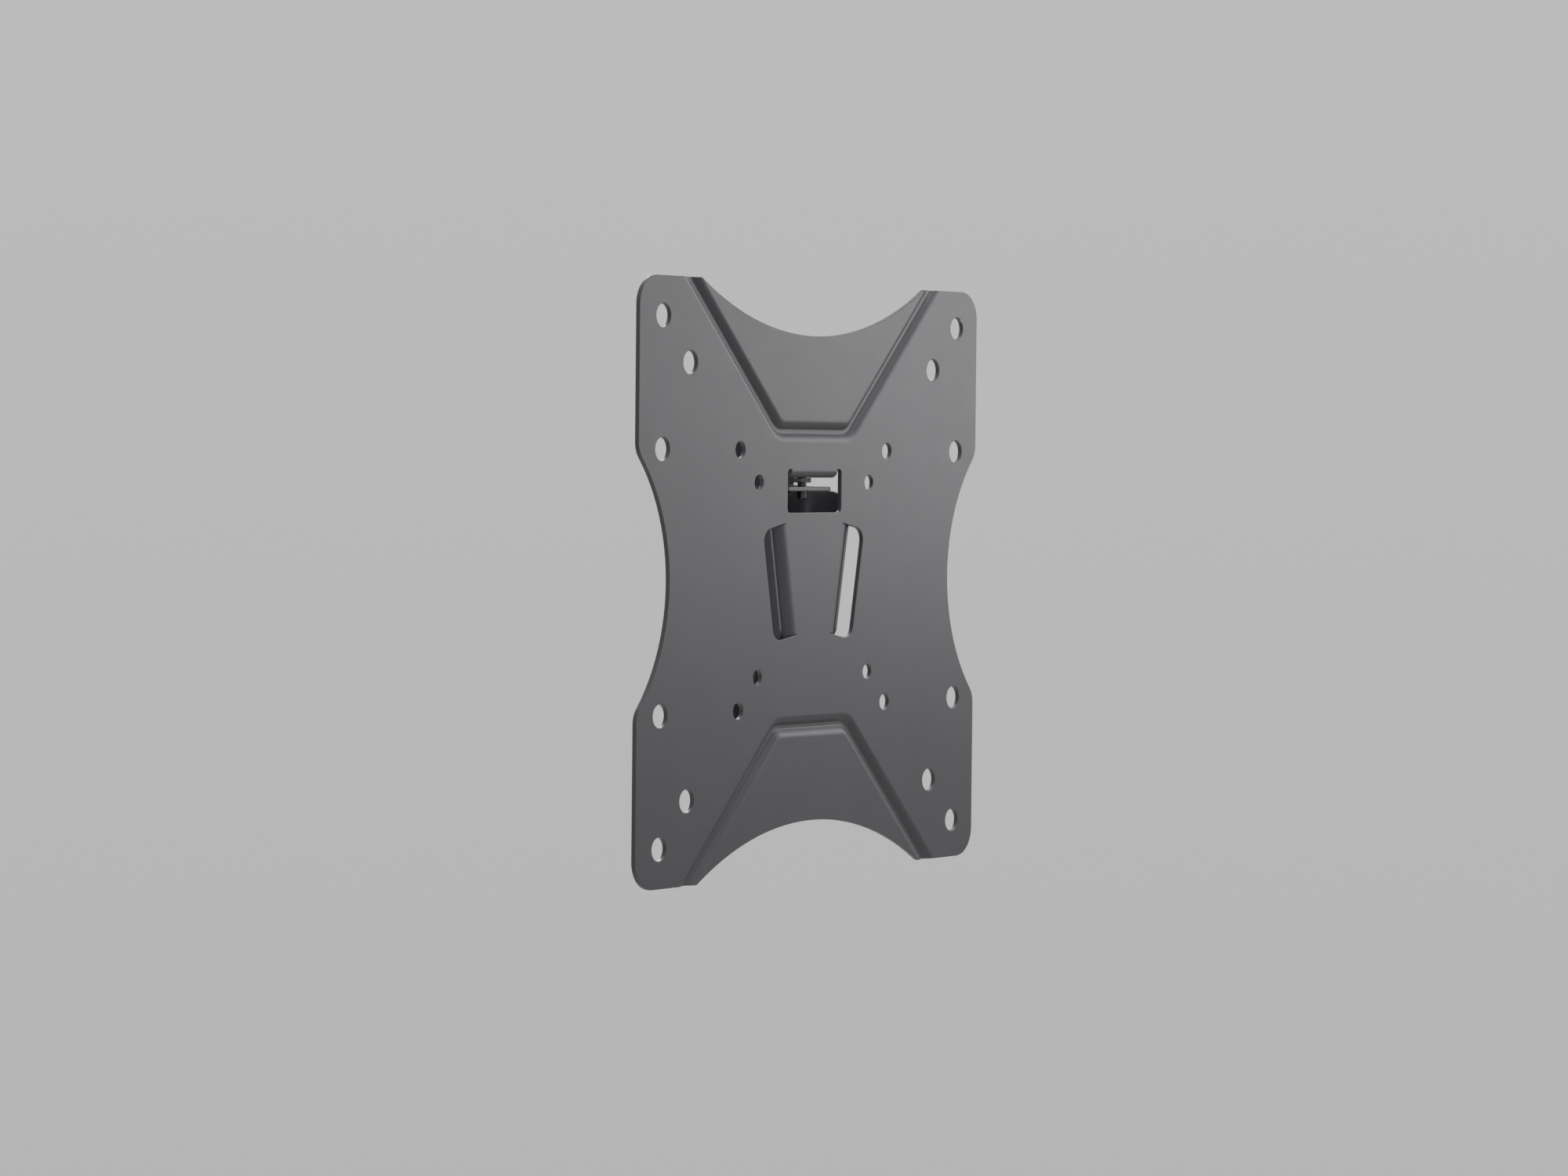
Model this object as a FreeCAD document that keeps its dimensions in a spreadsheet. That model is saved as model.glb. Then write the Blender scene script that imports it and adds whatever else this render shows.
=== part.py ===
import FreeCAD, Part
import math
import os
import Sketcher

# Slim fixed TV wall mount. A pressed steel plate bolts to the back of the screen and hangs by two
# splayed ears in a V-shaped receiver, which is riveted to a flat plate on the wall. A captive screw
# in a bent tab locks the two together.
#
# X runs to the right and Z up, both from the centre of the screen's hole patterns. Every piece is
# drawn with Y as its depth behind the plate's front face, and is then placed so that the wall is at
# Y = 0 with the screen towards -Y. Lengths are in millimetres, angles in degrees.

doc = FreeCAD.newDocument("tv_wall_mount")

# Driving dimensions
SIZES = [
    # the folded sheets
    ("sheet_thickness", 1.8),
    ("bend_radius", 1.0),
    ("mount_depth", 27.0),
    # outline of the screen plate
    ("plate_width", 230.0),
    ("plate_height", 230.0),
    ("plate_corner_radius", 11.0),
    ("waist_width", 190.0),
    ("waist_radius", 70.0),
    ("waist_shoulder_radius", 9.0),
    ("arch_gap", 189.0),
    ("arch_radius", 150.0),
    # hole patterns for the screen
    ("pattern_large", 200.0),
    ("pattern_medium", 165.5),
    ("pattern_small", 100.0),
    ("pattern_smallest", 75.0),
    ("large_hole", 9.0),
    ("small_hole", 6.4),
    ("smallest_hole", 5.8),
    # pressed stiffening grooves
    ("groove_height", 57.4),
    ("groove_run", 48.0),
    ("groove_climb", 45.0),
    ("groove_corner_radius", 8.5),
    ("groove_depth", 2.0),
    ("groove_floor", 1.6),
    ("groove_flank_angle", 42.0),
    ("groove_shoulder_radius", 3.5),
    ("groove_toe_radius", 0.8),
    # window and the tab bent out of it
    ("window_width", 36.4),
    ("window_sill", 25.8),
    ("window_corner_radius", 1.5),
    ("tab_width", 31.2),
    ("tab_underside", 39.4),
    ("tab_reach", 16.5),
    ("tab_corner_radius", 2.0),
    ("relief_overrun", 0.4),
    # ears bent out of their slots
    ("ear_foot", 15.7),
    ("ear_centre_height", -0.1),
    ("ear_lean", 10.6),
    ("ear_splay", 4.0),
    ("ear_reach", 12.0),
    ("ear_bend_radius", 4.0),
    ("ear_corner_radius", 3.0),
    ("slot_length", 44.0),
    ("slot_width", 15.0),
    ("slot_corner_radius", 5.0),
    ("ear_relief", 0.25),
    # receiver
    ("ear_clearance", 0.2),
    ("receiver_bend_radius", 4.5),
    ("receiver_setback", 2.4),
    ("receiver_rise", 36.0),
    ("receiver_drop", 23.5),
    ("receiver_nose_radius", 11.0),
    ("receiver_heel_radius", 5.0),
    ("tongue_top", 35.8),
    ("tongue_width", 32.4),
    ("tongue_relief", 0.6),
    ("shoulder_top", 36.2),
    ("shoulder_width", 5.0),
    ("tongue_corner_radius", 3.0),
    ("bend_margin", 0.5),
    # wall plate
    ("wall_plate_width", 43.4),
    ("wall_plate_top", 78.0),
    ("wall_plate_bottom", -57.0),
    ("wall_corner_radius", 5.0),
    ("wall_slot_length", 15.0),
    ("wall_slot_width", 8.0),
    ("wall_slot_spacing", 21.4),
    ("wall_slot_upper", 66.0),
    ("wall_slot_lower", -38.0),
    # rivets
    ("rivet_diameter", 4.0),
    ("rivet_head_diameter", 6.6),
    ("rivet_head_height", 1.5),
    ("rivet_head_taper", 35.0),
    ("rivet_fit", 0.1),
    ("rivet_upper_spacing", 35.0),
    ("rivet_upper_height", 22.0),
    ("rivet_lower_spacing", 21.0),
    ("rivet_lower_height", -17.0),
    # lock screw and the nut that keeps it in the tab
    ("screw_diameter", 4.0),
    ("screw_setback", 6.2),
    ("screw_tip", 31.0),
    ("screw_tip_chamfer", 0.5),
    ("screw_head_diameter", 6.6),
    ("screw_head_height", 2.6),
    ("screw_crown", 1.0),
    ("recess_span", 4.2),
    ("recess_arm", 1.0),
    ("recess_depth", 1.6),
    ("screw_clearance", 0.3),
    ("nut_flats", 7.0),
    ("nut_height", 1.8),
    ("nut_play", 0.15),
    ("thread_fit", 0.05),
    ("nut_chamfer_angle", 30.0),
]

sheet = doc.addObject("Spreadsheet::Sheet", "sizes")
for row, (alias, value) in enumerate(SIZES, start=1):
    sheet.set(f"A{row}", alias)
    sheet.set(f"B{row}", str(value))
    sheet.setAlias(f"B{row}", alias)
doc.recompute()

# Places that several pieces share, as formulas of the driving dimensions
THICKNESS = "sizes.sheet_thickness"
OUTER_BEND = "(sizes.bend_radius + sizes.sheet_thickness)"
WEB_FRONT = "(sizes.mount_depth - 2 * sizes.sheet_thickness)"
WEB_BACK = "(sizes.mount_depth - sizes.sheet_thickness)"
TAB_TOP = "(sizes.tab_underside + sizes.sheet_thickness)"
TONGUE_UNDERSIDE = "(sizes.tongue_top - sizes.sheet_thickness)"

# How near an edge's middle has to lie to the place where it is looked for
EDGE_TOLERANCE = 0.02


def worked(formula):
    """The value of a formula of the driving dimensions."""
    return float(sheet.evalExpression(formula))


def origin_plane(body, role):
    return next(feature for feature in body.Origin.OriginFeatures if feature.Role == role)


def new_body(name):
    """A body drawn in depth behind the front face, placed with the wall at Y = 0."""
    body = doc.addObject("PartDesign::Body", name)
    body.Label = name
    body.setExpression("Placement.Base.y", "-sizes.mount_depth")
    return body


def new_sketch(body, name, role, offset=None):
    """A sketch on an origin plane, or at a distance from it along the plane's own axis."""
    sketch = body.newObject("Sketcher::SketchObject", name)
    sketch.AttachmentSupport = [(origin_plane(body, role), "")]
    sketch.MapMode = "FlatFace"
    if offset is not None:
        sketch.setExpression("AttachmentOffset.Base.z", offset)
    return sketch


def fix_point(sketch, geometry, end, place):
    """Ties one point of a sketch to its distances from the axes."""
    for direction, formula in zip(("DistanceX", "DistanceY"), place):
        rule = Sketcher.Constraint(direction, -1, 1, geometry, end, worked(formula))
        sketch.setExpression(f"Constraints[{sketch.addConstraint(rule)}]", formula)


def draw_polygon(sketch, places):
    """A closed outline of straight edges through the places, each a pair of formulas."""
    corners = [FreeCAD.Vector(worked(across), worked(along), 0) for across, along in places]
    edges = []
    for corner, following in zip(corners, corners[1:] + corners[:1]):
        edges.append(sketch.addGeometry(Part.LineSegment(corner, following)))
    for edge, following in zip(edges, edges[1:] + edges[:1]):
        sketch.addConstraint(Sketcher.Constraint("Coincident", edge, 2, following, 1))
    for edge, place in zip(edges, places):
        fix_point(sketch, edge, 1, place)


def draw_circles(sketch, circles):
    """Circles given as formulas for both places of the centre and the diameter."""
    for across, along, diameter in circles:
        centre = FreeCAD.Vector(worked(across), worked(along), 0)
        ring = Part.Circle(centre, FreeCAD.Vector(0, 0, 1), worked(diameter) / 2)
        index = sketch.addGeometry(ring)
        fix_point(sketch, index, 3, (across, along))
        rule = Sketcher.Constraint("Diameter", index, worked(diameter))
        sketch.setExpression(f"Constraints[{sketch.addConstraint(rule)}]", diameter)


def draw_slots(sketch, slots):
    """Level slots with round ends, given as formulas for the centre's places, the length and the width."""
    for across, along, length, width in slots:
        radius = f"({width}) / 2"
        run = f"(({length}) - ({width})) / 2"
        ends = []
        for side, start, finish in (("+", -90, 90), ("-", 90, 270)):
            place = (f"{across} {side} {run}", along)
            centre = FreeCAD.Vector(worked(place[0]), worked(place[1]), 0)
            ring = Part.Circle(centre, FreeCAD.Vector(0, 0, 1), worked(radius))
            arc = sketch.addGeometry(Part.ArcOfCircle(ring, math.radians(start), math.radians(finish)))
            fix_point(sketch, arc, 3, place)
            rule = Sketcher.Constraint("Radius", arc, worked(radius))
            sketch.setExpression(f"Constraints[{sketch.addConstraint(rule)}]", radius)
            ends.append(arc)
        for arc, following in (ends, reversed(ends)):
            side = Part.LineSegment(sketch.getPoint(arc, 2), sketch.getPoint(following, 1))
            edge = sketch.addGeometry(side)
            sketch.addConstraint(Sketcher.Constraint("Tangent", arc, 2, edge, 1))
            sketch.addConstraint(Sketcher.Constraint("Coincident", edge, 2, following, 1))


def pad(body, sketch, length, name, backward=False, symmetric=False, other_length=None, taper=None):
    """Material grown from a sketch, backward being against the sketch's normal."""
    feature = body.newObject("PartDesign::Pad", name)
    feature.Profile = sketch
    feature.setExpression("Length", length)
    feature.Reversed = backward
    if symmetric:
        feature.SideType = "Symmetric"
    if other_length is not None:
        feature.SideType = "Two sides"
        feature.setExpression("Length2", other_length)
    if taper is not None:
        feature.setExpression("TaperAngle", taper)
    doc.recompute()


def check_cut(feature, before):
    """A cut that misses the solid shows no error, so the volumes are compared."""
    if not feature.Shape.Volume < before:
        raise RuntimeError(f"{feature.Label} removed nothing")


def cut_through(body, sketch, name):
    """A cut right through the body, on both sides of the sketch."""
    before = body.Shape.Volume
    feature = body.newObject("PartDesign::Pocket", name)
    feature.Profile = sketch
    feature.SideType = "Symmetric"
    feature.Type = "ThroughAll"
    doc.recompute()
    check_cut(feature, before)


def cut_in(body, sketch, length, name):
    """A cut of a given length, against the sketch's normal."""
    before = body.Shape.Volume
    feature = body.newObject("PartDesign::Pocket", name)
    feature.Profile = sketch
    feature.setExpression("Length", length)
    doc.recompute()
    check_cut(feature, before)


def edges_where(feature, test):
    """Names of a feature's edges whose middle passes a test."""
    names = []
    for number, edge in enumerate(feature.Shape.Edges, start=1):
        if test(edge.valueAt((edge.FirstParameter + edge.LastParameter) / 2)):
            names.append(f"Edge{number}")
    if not names:
        raise RuntimeError(f"{feature.Label} has no such edge")
    return names


def edges_at(feature, middles):
    """Names of a feature's edges whose middles lie at the given points."""
    points = [FreeCAD.Vector(*middle) for middle in middles]
    return [
        name for point in points
        for name in edges_where(feature, lambda middle: (middle - point).Length < EDGE_TOLERANCE)
    ]


def fillet(body, radius, name, middles=None, names=None):
    """Rounds edges of the body's last feature, found by their middles or given by name."""
    base = body.Tip
    feature = body.newObject("PartDesign::Fillet", name)
    feature.Base = (base, names or edges_at(base, middles))
    feature.setExpression("Radius", radius)
    doc.recompute()


def mirror(body, role, name):
    """The whole body joined with its reflection in an origin plane."""
    base = body.Tip
    feature = body.newObject("PartDesign::Mirrored", name)
    feature.TransformMode = "Whole shape"
    feature.MirrorPlane = (origin_plane(body, role), [""])
    body.Tip = feature
    doc.recompute()
    if not feature.Shape.Volume > base.Shape.Volume:
        raise RuntimeError(f"{name} added nothing")


# Ears and receiver cheeks share a leaning frame: its X points outward across the ear's bend line,
# its Y is the depth and its Z runs up along the slot
EAR_BEND_ANGLE = "(90 - sizes.ear_splay)"
EAR_OUTER_BEND = "(sizes.ear_bend_radius + sizes.sheet_thickness)"
EAR_KNEE = f"({EAR_OUTER_BEND} * tan({EAR_BEND_ANGLE} / 2))"


def leaning_sketch(body, name):
    """A sketch across the ear, turned about the depth axis by the lean."""
    sketch = new_sketch(body, name, "XY_Plane")
    lean = FreeCAD.Rotation(FreeCAD.Vector(0, 1, 0), worked("sizes.ear_lean"))
    sketch.AttachmentOffset = FreeCAD.Placement(FreeCAD.Vector(), lean)
    sketch.setExpression("AttachmentOffset.Base.x", "sizes.ear_foot")
    sketch.setExpression("AttachmentOffset.Base.z", "sizes.ear_centre_height")
    sketch.setExpression("AttachmentOffset.Rotation.Angle", "sizes.ear_lean")
    return sketch


def leaning_place(out, along):
    """Formulas for X and Z of a point given in the leaning frame."""
    across = f"({along}) * sin(sizes.ear_lean) + ({out}) * cos(sizes.ear_lean)"
    height = f"({along}) * cos(sizes.ear_lean) - ({out}) * sin(sizes.ear_lean)"
    return f"sizes.ear_foot + {across}", f"sizes.ear_centre_height + {height}"


def leaning_point(out, depth, along):
    """A point given in the leaning frame, in the body's own axes."""
    across, height = leaning_place(out, along)
    return worked(across), worked(depth), worked(height)


# Screen plate: one quarter of the pressed sheet, with its groove, outline and holes
screen_plate = new_body("screen_plate")
HALF_WIDTH = "sizes.plate_width / 2"
HALF_HEIGHT = "sizes.plate_height / 2"

quarter = new_sketch(screen_plate, "quarter_blank", "XZ_Plane")
draw_polygon(quarter, [("0", "0"), (HALF_WIDTH, "0"), (HALF_WIDTH, HALF_HEIGHT), ("0", HALF_HEIGHT)])
pad(screen_plate, quarter, THICKNESS, "sheet_quarter", backward=True)

# The groove runs level from the middle, turns up through a corner arc and leaves over the top edge
GROOVE_TURN = "sizes.groove_corner_radius * tan(sizes.groove_climb / 2)"
GROOVE_LEVEL_END = f"sizes.groove_run / 2 - {GROOVE_TURN}"
GROOVE_CLIMB_START = (
    f"sizes.groove_run / 2 + {GROOVE_TURN} * cos(sizes.groove_climb)",
    f"sizes.groove_height + {GROOVE_TURN} * sin(sizes.groove_climb)",
)
GROOVE_MARGIN = "(2 * sizes.groove_shoulder_radius)"
GROOVE_EXIT_HEIGHT = f"({HALF_HEIGHT} + 3 * {GROOVE_MARGIN})"
GROOVE_EXIT = (
    f"sizes.groove_run / 2 + ({GROOVE_EXIT_HEIGHT} - sizes.groove_height) / tan(sizes.groove_climb)",
    GROOVE_EXIT_HEIGHT,
)


def draw_groove_path(sketch):
    start = FreeCAD.Vector(0, worked("sizes.groove_height"), 0)
    level_end = FreeCAD.Vector(worked(GROOVE_LEVEL_END), start.y, 0)
    climb_start = FreeCAD.Vector(worked(GROOVE_CLIMB_START[0]), worked(GROOVE_CLIMB_START[1]), 0)
    climb_end = FreeCAD.Vector(worked(GROOVE_EXIT[0]), worked(GROOVE_EXIT[1]), 0)
    centre = level_end + FreeCAD.Vector(0, worked("sizes.groove_corner_radius"), 0)
    half_turn = FreeCAD.Rotation(FreeCAD.Vector(0, 0, 1), worked("sizes.groove_climb") / 2)
    bend_middle = centre + half_turn.multVec(level_end - centre)
    level = sketch.addGeometry(Part.LineSegment(start, level_end))
    bend = sketch.addGeometry(Part.Arc(level_end, bend_middle, climb_start))
    climb = sketch.addGeometry(Part.LineSegment(climb_start, climb_end))
    fix_point(sketch, level, 1, ("0", "sizes.groove_height"))
    fix_point(sketch, level, 2, (GROOVE_LEVEL_END, "sizes.groove_height"))
    fix_point(sketch, climb, 1, GROOVE_CLIMB_START)
    fix_point(sketch, climb, 2, GROOVE_EXIT)
    sketch.addConstraint(Sketcher.Constraint("Coincident", level, 2, bend, 1))
    sketch.addConstraint(Sketcher.Constraint("Coincident", bend, 2, climb, 1))
    rule = Sketcher.Constraint("Radius", bend, worked("sizes.groove_corner_radius"))
    sketch.setExpression(f"Constraints[{sketch.addConstraint(rule)}]", "sizes.groove_corner_radius")


groove_path = new_sketch(screen_plate, "groove_path", "XZ_Plane")
draw_groove_path(groove_path)

# Half widths of the groove's section, in front and behind
FLANK_RUN = "sizes.groove_depth / tan(sizes.groove_flank_angle)"
FLOOR_FRONT = "(sizes.groove_floor / 2)"
SHOULDER_FRONT = f"({FLOOR_FRONT} + {FLANK_RUN})"
SHEET_SHIFT = f"{THICKNESS} * tan(sizes.groove_flank_angle / 2)"
FLOOR_BACK = f"({FLOOR_FRONT} + {SHEET_SHIFT})"
SHOULDER_BACK = f"({SHOULDER_FRONT} + {SHEET_SHIFT})"
BAND = f"({SHOULDER_BACK} + {GROOVE_MARGIN})"
RIDGE_TOP = f"({THICKNESS} + sizes.groove_depth)"
TOOL_RISE = "sizes.groove_depth"
TOOL_FRONT = f"({SHOULDER_FRONT} + {TOOL_RISE} / tan(sizes.groove_flank_angle))"


def section_places(half):
    """A section symmetric about the groove's centre line, from its lower half outline."""
    lower = [(depth, f"sizes.groove_height - {width}") for depth, width in half]
    upper = [(depth, f"sizes.groove_height + {width}") for depth, width in reversed(half)]
    return lower + upper


def sweep(kind, section, name):
    feature = screen_plate.newObject(f"PartDesign::{kind}", name)
    feature.Profile = section
    feature.Spine = (groove_path, ["Edge1", "Edge2", "Edge3"])
    doc.recompute()
    return feature


ridge_section = new_sketch(screen_plate, "ridge_section", "YZ_Plane")
draw_polygon(ridge_section, section_places([
    ("0", BAND), (THICKNESS, BAND), (THICKNESS, SHOULDER_BACK), (RIDGE_TOP, FLOOR_BACK),
]))
sweep("AdditivePipe", ridge_section, "ridge")
groove_section = new_sketch(screen_plate, "groove_section", "YZ_Plane")
draw_polygon(groove_section, section_places([
    (f"-{TOOL_RISE}", TOOL_FRONT), ("sizes.groove_depth", FLOOR_FRONT),
]))
blank_volume = screen_plate.Shape.Volume
groove = sweep("SubtractivePipe", groove_section, "groove")
check_cut(groove, blank_volume)


def groove_edges(depth, offset):
    """Edges along the groove at a depth and at a distance from its centre line."""
    def runs_there(middle):
        distance = Part.Vertex(middle.x, 0, middle.z).distToShape(groove_path.Shape)[0]
        miss = max(abs(middle.y - worked(depth)), abs(distance - worked(offset)))
        return miss < EDGE_TOLERANCE
    return edges_where(screen_plate.Tip, runs_there)


OUTER_TOE = "sizes.groove_toe_radius + sizes.sheet_thickness"
INNER_SHOULDER = "sizes.groove_shoulder_radius - sizes.sheet_thickness"
for radius, depth, offset, name in (
    ("sizes.groove_toe_radius", "sizes.groove_depth", FLOOR_FRONT, "groove_toe"),
    ("sizes.groove_shoulder_radius", "0", SHOULDER_FRONT, "groove_shoulder"),
    (OUTER_TOE, RIDGE_TOP, FLOOR_BACK, "ridge_crown"),
    (INNER_SHOULDER, THICKNESS, SHOULDER_BACK, "ridge_foot"),
):
    fillet(screen_plate, radius, name, names=groove_edges(depth, offset))

# Outline: top edge, concave arch above, concave waist beside, and rounded corners
TRIM_WIDTH = f"({GROOVE_EXIT[0]} + 2 * {BAND})"
TRIM_TOP = f"({GROOVE_EXIT_HEIGHT} + 2 * {BAND})"
trim = new_sketch(screen_plate, "top_edge", "XZ_Plane")
draw_polygon(trim, [
    (f"-{TRIM_WIDTH}", HALF_HEIGHT),
    (TRIM_WIDTH, HALF_HEIGHT),
    (TRIM_WIDTH, TRIM_TOP),
    (f"-{TRIM_WIDTH}", TRIM_TOP),
])
cut_through(screen_plate, trim, "top_trim")
arch = new_sketch(screen_plate, "arch_outline", "XZ_Plane")
draw_circles(arch, [("0", "sizes.arch_gap / 2 + sizes.arch_radius", "2 * sizes.arch_radius")])
cut_through(screen_plate, arch, "arch")
WAIST_CENTRE = "(sizes.waist_width / 2 + sizes.waist_radius)"
waist = new_sketch(screen_plate, "waist_outline", "XZ_Plane")
draw_circles(waist, [(WAIST_CENTRE, "0", "2 * sizes.waist_radius")])
cut_through(screen_plate, waist, "waist")
WAIST_MEETS_EDGE = f"sqrt(sizes.waist_radius ^ 2 - ({WAIST_CENTRE} - {HALF_WIDTH}) ^ 2)"
mid_sheet = worked(f"{THICKNESS} / 2")
plate_corner = (worked(HALF_WIDTH), mid_sheet, worked(HALF_HEIGHT))
waist_corner = (worked(HALF_WIDTH), mid_sheet, worked(WAIST_MEETS_EDGE))
fillet(screen_plate, "sizes.plate_corner_radius", "plate_corner", middles=[plate_corner])
fillet(screen_plate, "sizes.waist_shoulder_radius", "waist_shoulder", middles=[waist_corner])

screen_holes = new_sketch(screen_plate, "screen_hole_circles", "XZ_Plane")
draw_circles(screen_holes, [
    ("sizes.pattern_large / 2", "sizes.pattern_large / 2", "sizes.large_hole"),
    ("sizes.pattern_large / 2", "sizes.pattern_small / 2", "sizes.large_hole"),
    ("sizes.pattern_medium / 2", "sizes.pattern_medium / 2", "sizes.large_hole"),
    ("sizes.pattern_small / 2", "sizes.pattern_small / 2", "sizes.small_hole"),
    ("sizes.pattern_smallest / 2", "sizes.pattern_smallest / 2", "sizes.smallest_hole"),
])
cut_through(screen_plate, screen_holes, "screen_holes")
mirror(screen_plate, "XY_Plane", "lower_quarter")

# Screen plate, right half: window with its relief notch, and the tab bent back from its top
TAB_HALF = "sizes.tab_width / 2"
WINDOW_HALF = "sizes.window_width / 2"
TAB_BEND_LINE = f"(sizes.tab_underside + {OUTER_BEND})"
RELIEF_TOP = f"({TAB_BEND_LINE} + sizes.relief_overrun)"
RELIEF_RADIUS = f"({WINDOW_HALF} - {TAB_HALF}) / 2"
window = new_sketch(screen_plate, "window_outline", "XZ_Plane")
draw_polygon(window, [
    ("0", "sizes.window_sill"),
    (WINDOW_HALF, "sizes.window_sill"),
    (WINDOW_HALF, RELIEF_TOP),
    (TAB_HALF, RELIEF_TOP),
    (TAB_HALF, TAB_BEND_LINE),
    ("0", TAB_BEND_LINE),
])
cut_through(screen_plate, window, "window")
window_sill_corner = (worked(WINDOW_HALF), mid_sheet, worked("sizes.window_sill"))
relief_corner = (worked(WINDOW_HALF), mid_sheet, worked(RELIEF_TOP))
fillet(screen_plate, "sizes.window_corner_radius", "window_corner", middles=[window_sill_corner])
fillet(screen_plate, RELIEF_RADIUS, "relief_round", middles=[relief_corner])

tab_section = new_sketch(screen_plate, "tab_section", "YZ_Plane")
draw_polygon(tab_section, [
    ("0", TAB_BEND_LINE),
    ("0", "sizes.tab_underside"),
    ("sizes.tab_reach", "sizes.tab_underside"),
    ("sizes.tab_reach", TAB_TOP),
    (THICKNESS, TAB_TOP),
    (THICKNESS, TAB_BEND_LINE),
])
pad(screen_plate, tab_section, TAB_HALF, "tab")
tab_quarter = worked(f"{TAB_HALF} / 2")
tab_bend = (tab_quarter, 0, worked("sizes.tab_underside"))
tab_inner_bend = (tab_quarter, worked(THICKNESS), worked(TAB_TOP))
tab_corner = (
    worked(TAB_HALF), worked("sizes.tab_reach"), worked(f"sizes.tab_underside + {THICKNESS} / 2"),
)
fillet(screen_plate, OUTER_BEND, "tab_bend", middles=[tab_bend])
fillet(screen_plate, "sizes.bend_radius", "tab_inner_bend", middles=[tab_inner_bend])
fillet(screen_plate, "sizes.tab_corner_radius", "tab_corner", middles=[tab_corner])

# Screen plate, right half: leaning slot and the ear bent back from its inner edge
SLOT_END = "(sizes.slot_length / 2)"
EAR_END = "(sizes.slot_length / 2 - sizes.ear_relief)"
slot = new_sketch(screen_plate, "slot_outline", "XZ_Plane")
draw_polygon(slot, [
    leaning_place("0", f"-{SLOT_END}"),
    leaning_place("sizes.slot_width", f"-{SLOT_END}"),
    leaning_place("sizes.slot_width", SLOT_END),
    leaning_place("0", SLOT_END),
])
cut_through(screen_plate, slot, "slot")
slot_corners = [
    leaning_point("sizes.slot_width", f"{THICKNESS} / 2", sign + SLOT_END) for sign in ("", "-")
]
fillet(screen_plate, "sizes.slot_corner_radius", "slot_corner", middles=slot_corners)

EAR_INNER_KNEE = f"(sizes.ear_bend_radius * tan({EAR_BEND_ANGLE} / 2))"
EAR_TIP_OUT = f"({EAR_KNEE} + sizes.ear_reach * tan(sizes.ear_splay))"
EAR_TIP_IN = f"({EAR_TIP_OUT} - {THICKNESS} * cos(sizes.ear_splay))"
EAR_TIP_IN_DEPTH = f"(sizes.ear_reach + {THICKNESS} * sin(sizes.ear_splay))"
ear_section = leaning_sketch(screen_plate, "ear_section")
draw_polygon(ear_section, [
    ("0", "0"),
    (EAR_KNEE, "0"),
    (EAR_TIP_OUT, "sizes.ear_reach"),
    (EAR_TIP_IN, EAR_TIP_IN_DEPTH),
    (EAR_INNER_KNEE, THICKNESS),
    ("0", THICKNESS),
])
pad(screen_plate, ear_section, f"2 * {EAR_END}", "ear", symmetric=True)
ear_bend = leaning_point(EAR_KNEE, "0", "0")
ear_inner_bend = leaning_point(EAR_INNER_KNEE, THICKNESS, "0")
EAR_TIP_MIDDLE = f"({EAR_TIP_OUT} + {EAR_TIP_IN}) / 2"
EAR_TIP_MIDDLE_DEPTH = f"(sizes.ear_reach + {EAR_TIP_IN_DEPTH}) / 2"
ear_corners = [
    leaning_point(EAR_TIP_MIDDLE, EAR_TIP_MIDDLE_DEPTH, sign + EAR_END) for sign in ("", "-")
]
fillet(screen_plate, EAR_OUTER_BEND, "ear_bend", middles=[ear_bend])
fillet(screen_plate, "sizes.ear_bend_radius", "ear_inner_bend", middles=[ear_inner_bend])
fillet(screen_plate, "sizes.ear_corner_radius", "ear_corner", middles=ear_corners)
mirror(screen_plate, "YZ_Plane", "left_half")

SCREW_HOLE = "sizes.screw_diameter + 2 * sizes.screw_clearance"
tab_hole = new_sketch(screen_plate, "tab_hole_circle", "XY_Plane", TAB_TOP)
draw_circles(tab_hole, [("0", "sizes.screw_setback", SCREW_HOLE)])
cut_in(screen_plate, tab_hole, THICKNESS, "tab_hole")

# Receiver, right half: web with a shoulder, a leaning cheek, and a tongue bent forward from its top
receiver = new_body("receiver")
CHEEK_BEND_ANGLE = "(90 + sizes.ear_splay)"
CHEEK_OUTER_BEND = "(sizes.receiver_bend_radius + sizes.sheet_thickness)"
CHEEK_GAP = "sizes.ear_clearance / cos(sizes.ear_splay)"
CHEEK_KNEE = f"({EAR_KNEE} + {WEB_FRONT} * tan(sizes.ear_splay) + {CHEEK_GAP})"
CHEEK_FOOT = f"({CHEEK_KNEE} - sizes.receiver_bend_radius * tan({CHEEK_BEND_ANGLE} / 2))"
CHEEK_OUTER_KNEE = f"({CHEEK_FOOT} + {CHEEK_OUTER_BEND} * tan({CHEEK_BEND_ANGLE} / 2))"
CHEEK_TIP_IN = f"({EAR_KNEE} + sizes.receiver_setback * tan(sizes.ear_splay) + {CHEEK_GAP})"
CHEEK_TIP_OUT = f"({CHEEK_TIP_IN} + {THICKNESS} * cos(sizes.ear_splay))"
CHEEK_TIP_OUT_DEPTH = f"(sizes.receiver_setback - {THICKNESS} * sin(sizes.ear_splay))"
WEB_TOP = f"({TONGUE_UNDERSIDE} - sizes.bend_radius - sizes.bend_margin)"
WEB_TOP_HALF = (
    f"sizes.ear_foot + ({WEB_TOP} - sizes.ear_centre_height) * tan(sizes.ear_lean)"
    f" + {CHEEK_FOOT} / cos(sizes.ear_lean)"
)
WEB_BOTTOM_HALF, WEB_BOTTOM = leaning_place(CHEEK_FOOT, "-sizes.receiver_drop")
TONGUE_HALF = "sizes.tongue_width / 2"
SHOULDER_IN = f"({TONGUE_HALF} + sizes.tongue_relief)"

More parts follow.
